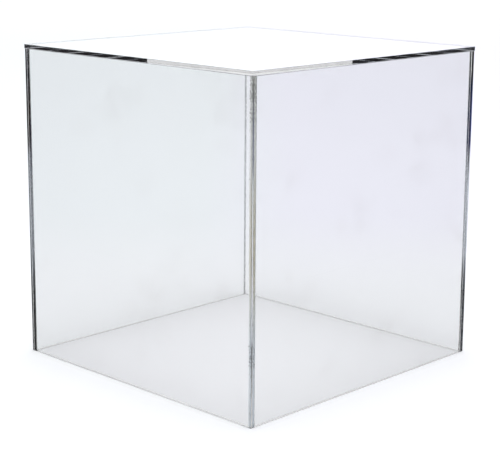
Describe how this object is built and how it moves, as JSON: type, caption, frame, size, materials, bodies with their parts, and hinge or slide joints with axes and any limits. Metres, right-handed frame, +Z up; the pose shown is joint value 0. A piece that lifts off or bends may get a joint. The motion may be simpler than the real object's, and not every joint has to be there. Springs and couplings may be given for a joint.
{
  "type": "display cube",
  "caption": "Clear acrylic display cube: square sheets cemented edge to face into a cover with a closed top and an open bottom, to stand over an exhibit.",
  "frame": {"origin": "centre of the open bottom, on the surface that the cube stands on", "axes": "+Z up through the top panel, -Y out of the front panel, +X out of the right panel"},
  "size_m": [0.3, 0.3, 0.3],
  "materials": {
    "acrylic": "polished",
    "cement": "satin"
  },
  "bodies": {
    "root": {"top_panel": "acrylic", "front_panel": "acrylic", "back_panel": "acrylic", "left_panel": "acrylic", "right_panel": "acrylic", "cement_front_left": "cement", "cement_front_right": "cement", "cement_back_left": "cement", "cement_back_right": "cement", "cement_top_front": "cement", "cement_top_back": "cement", "cement_top_left": "cement", "cement_top_right": "cement"}
  },
  "joints": []
}
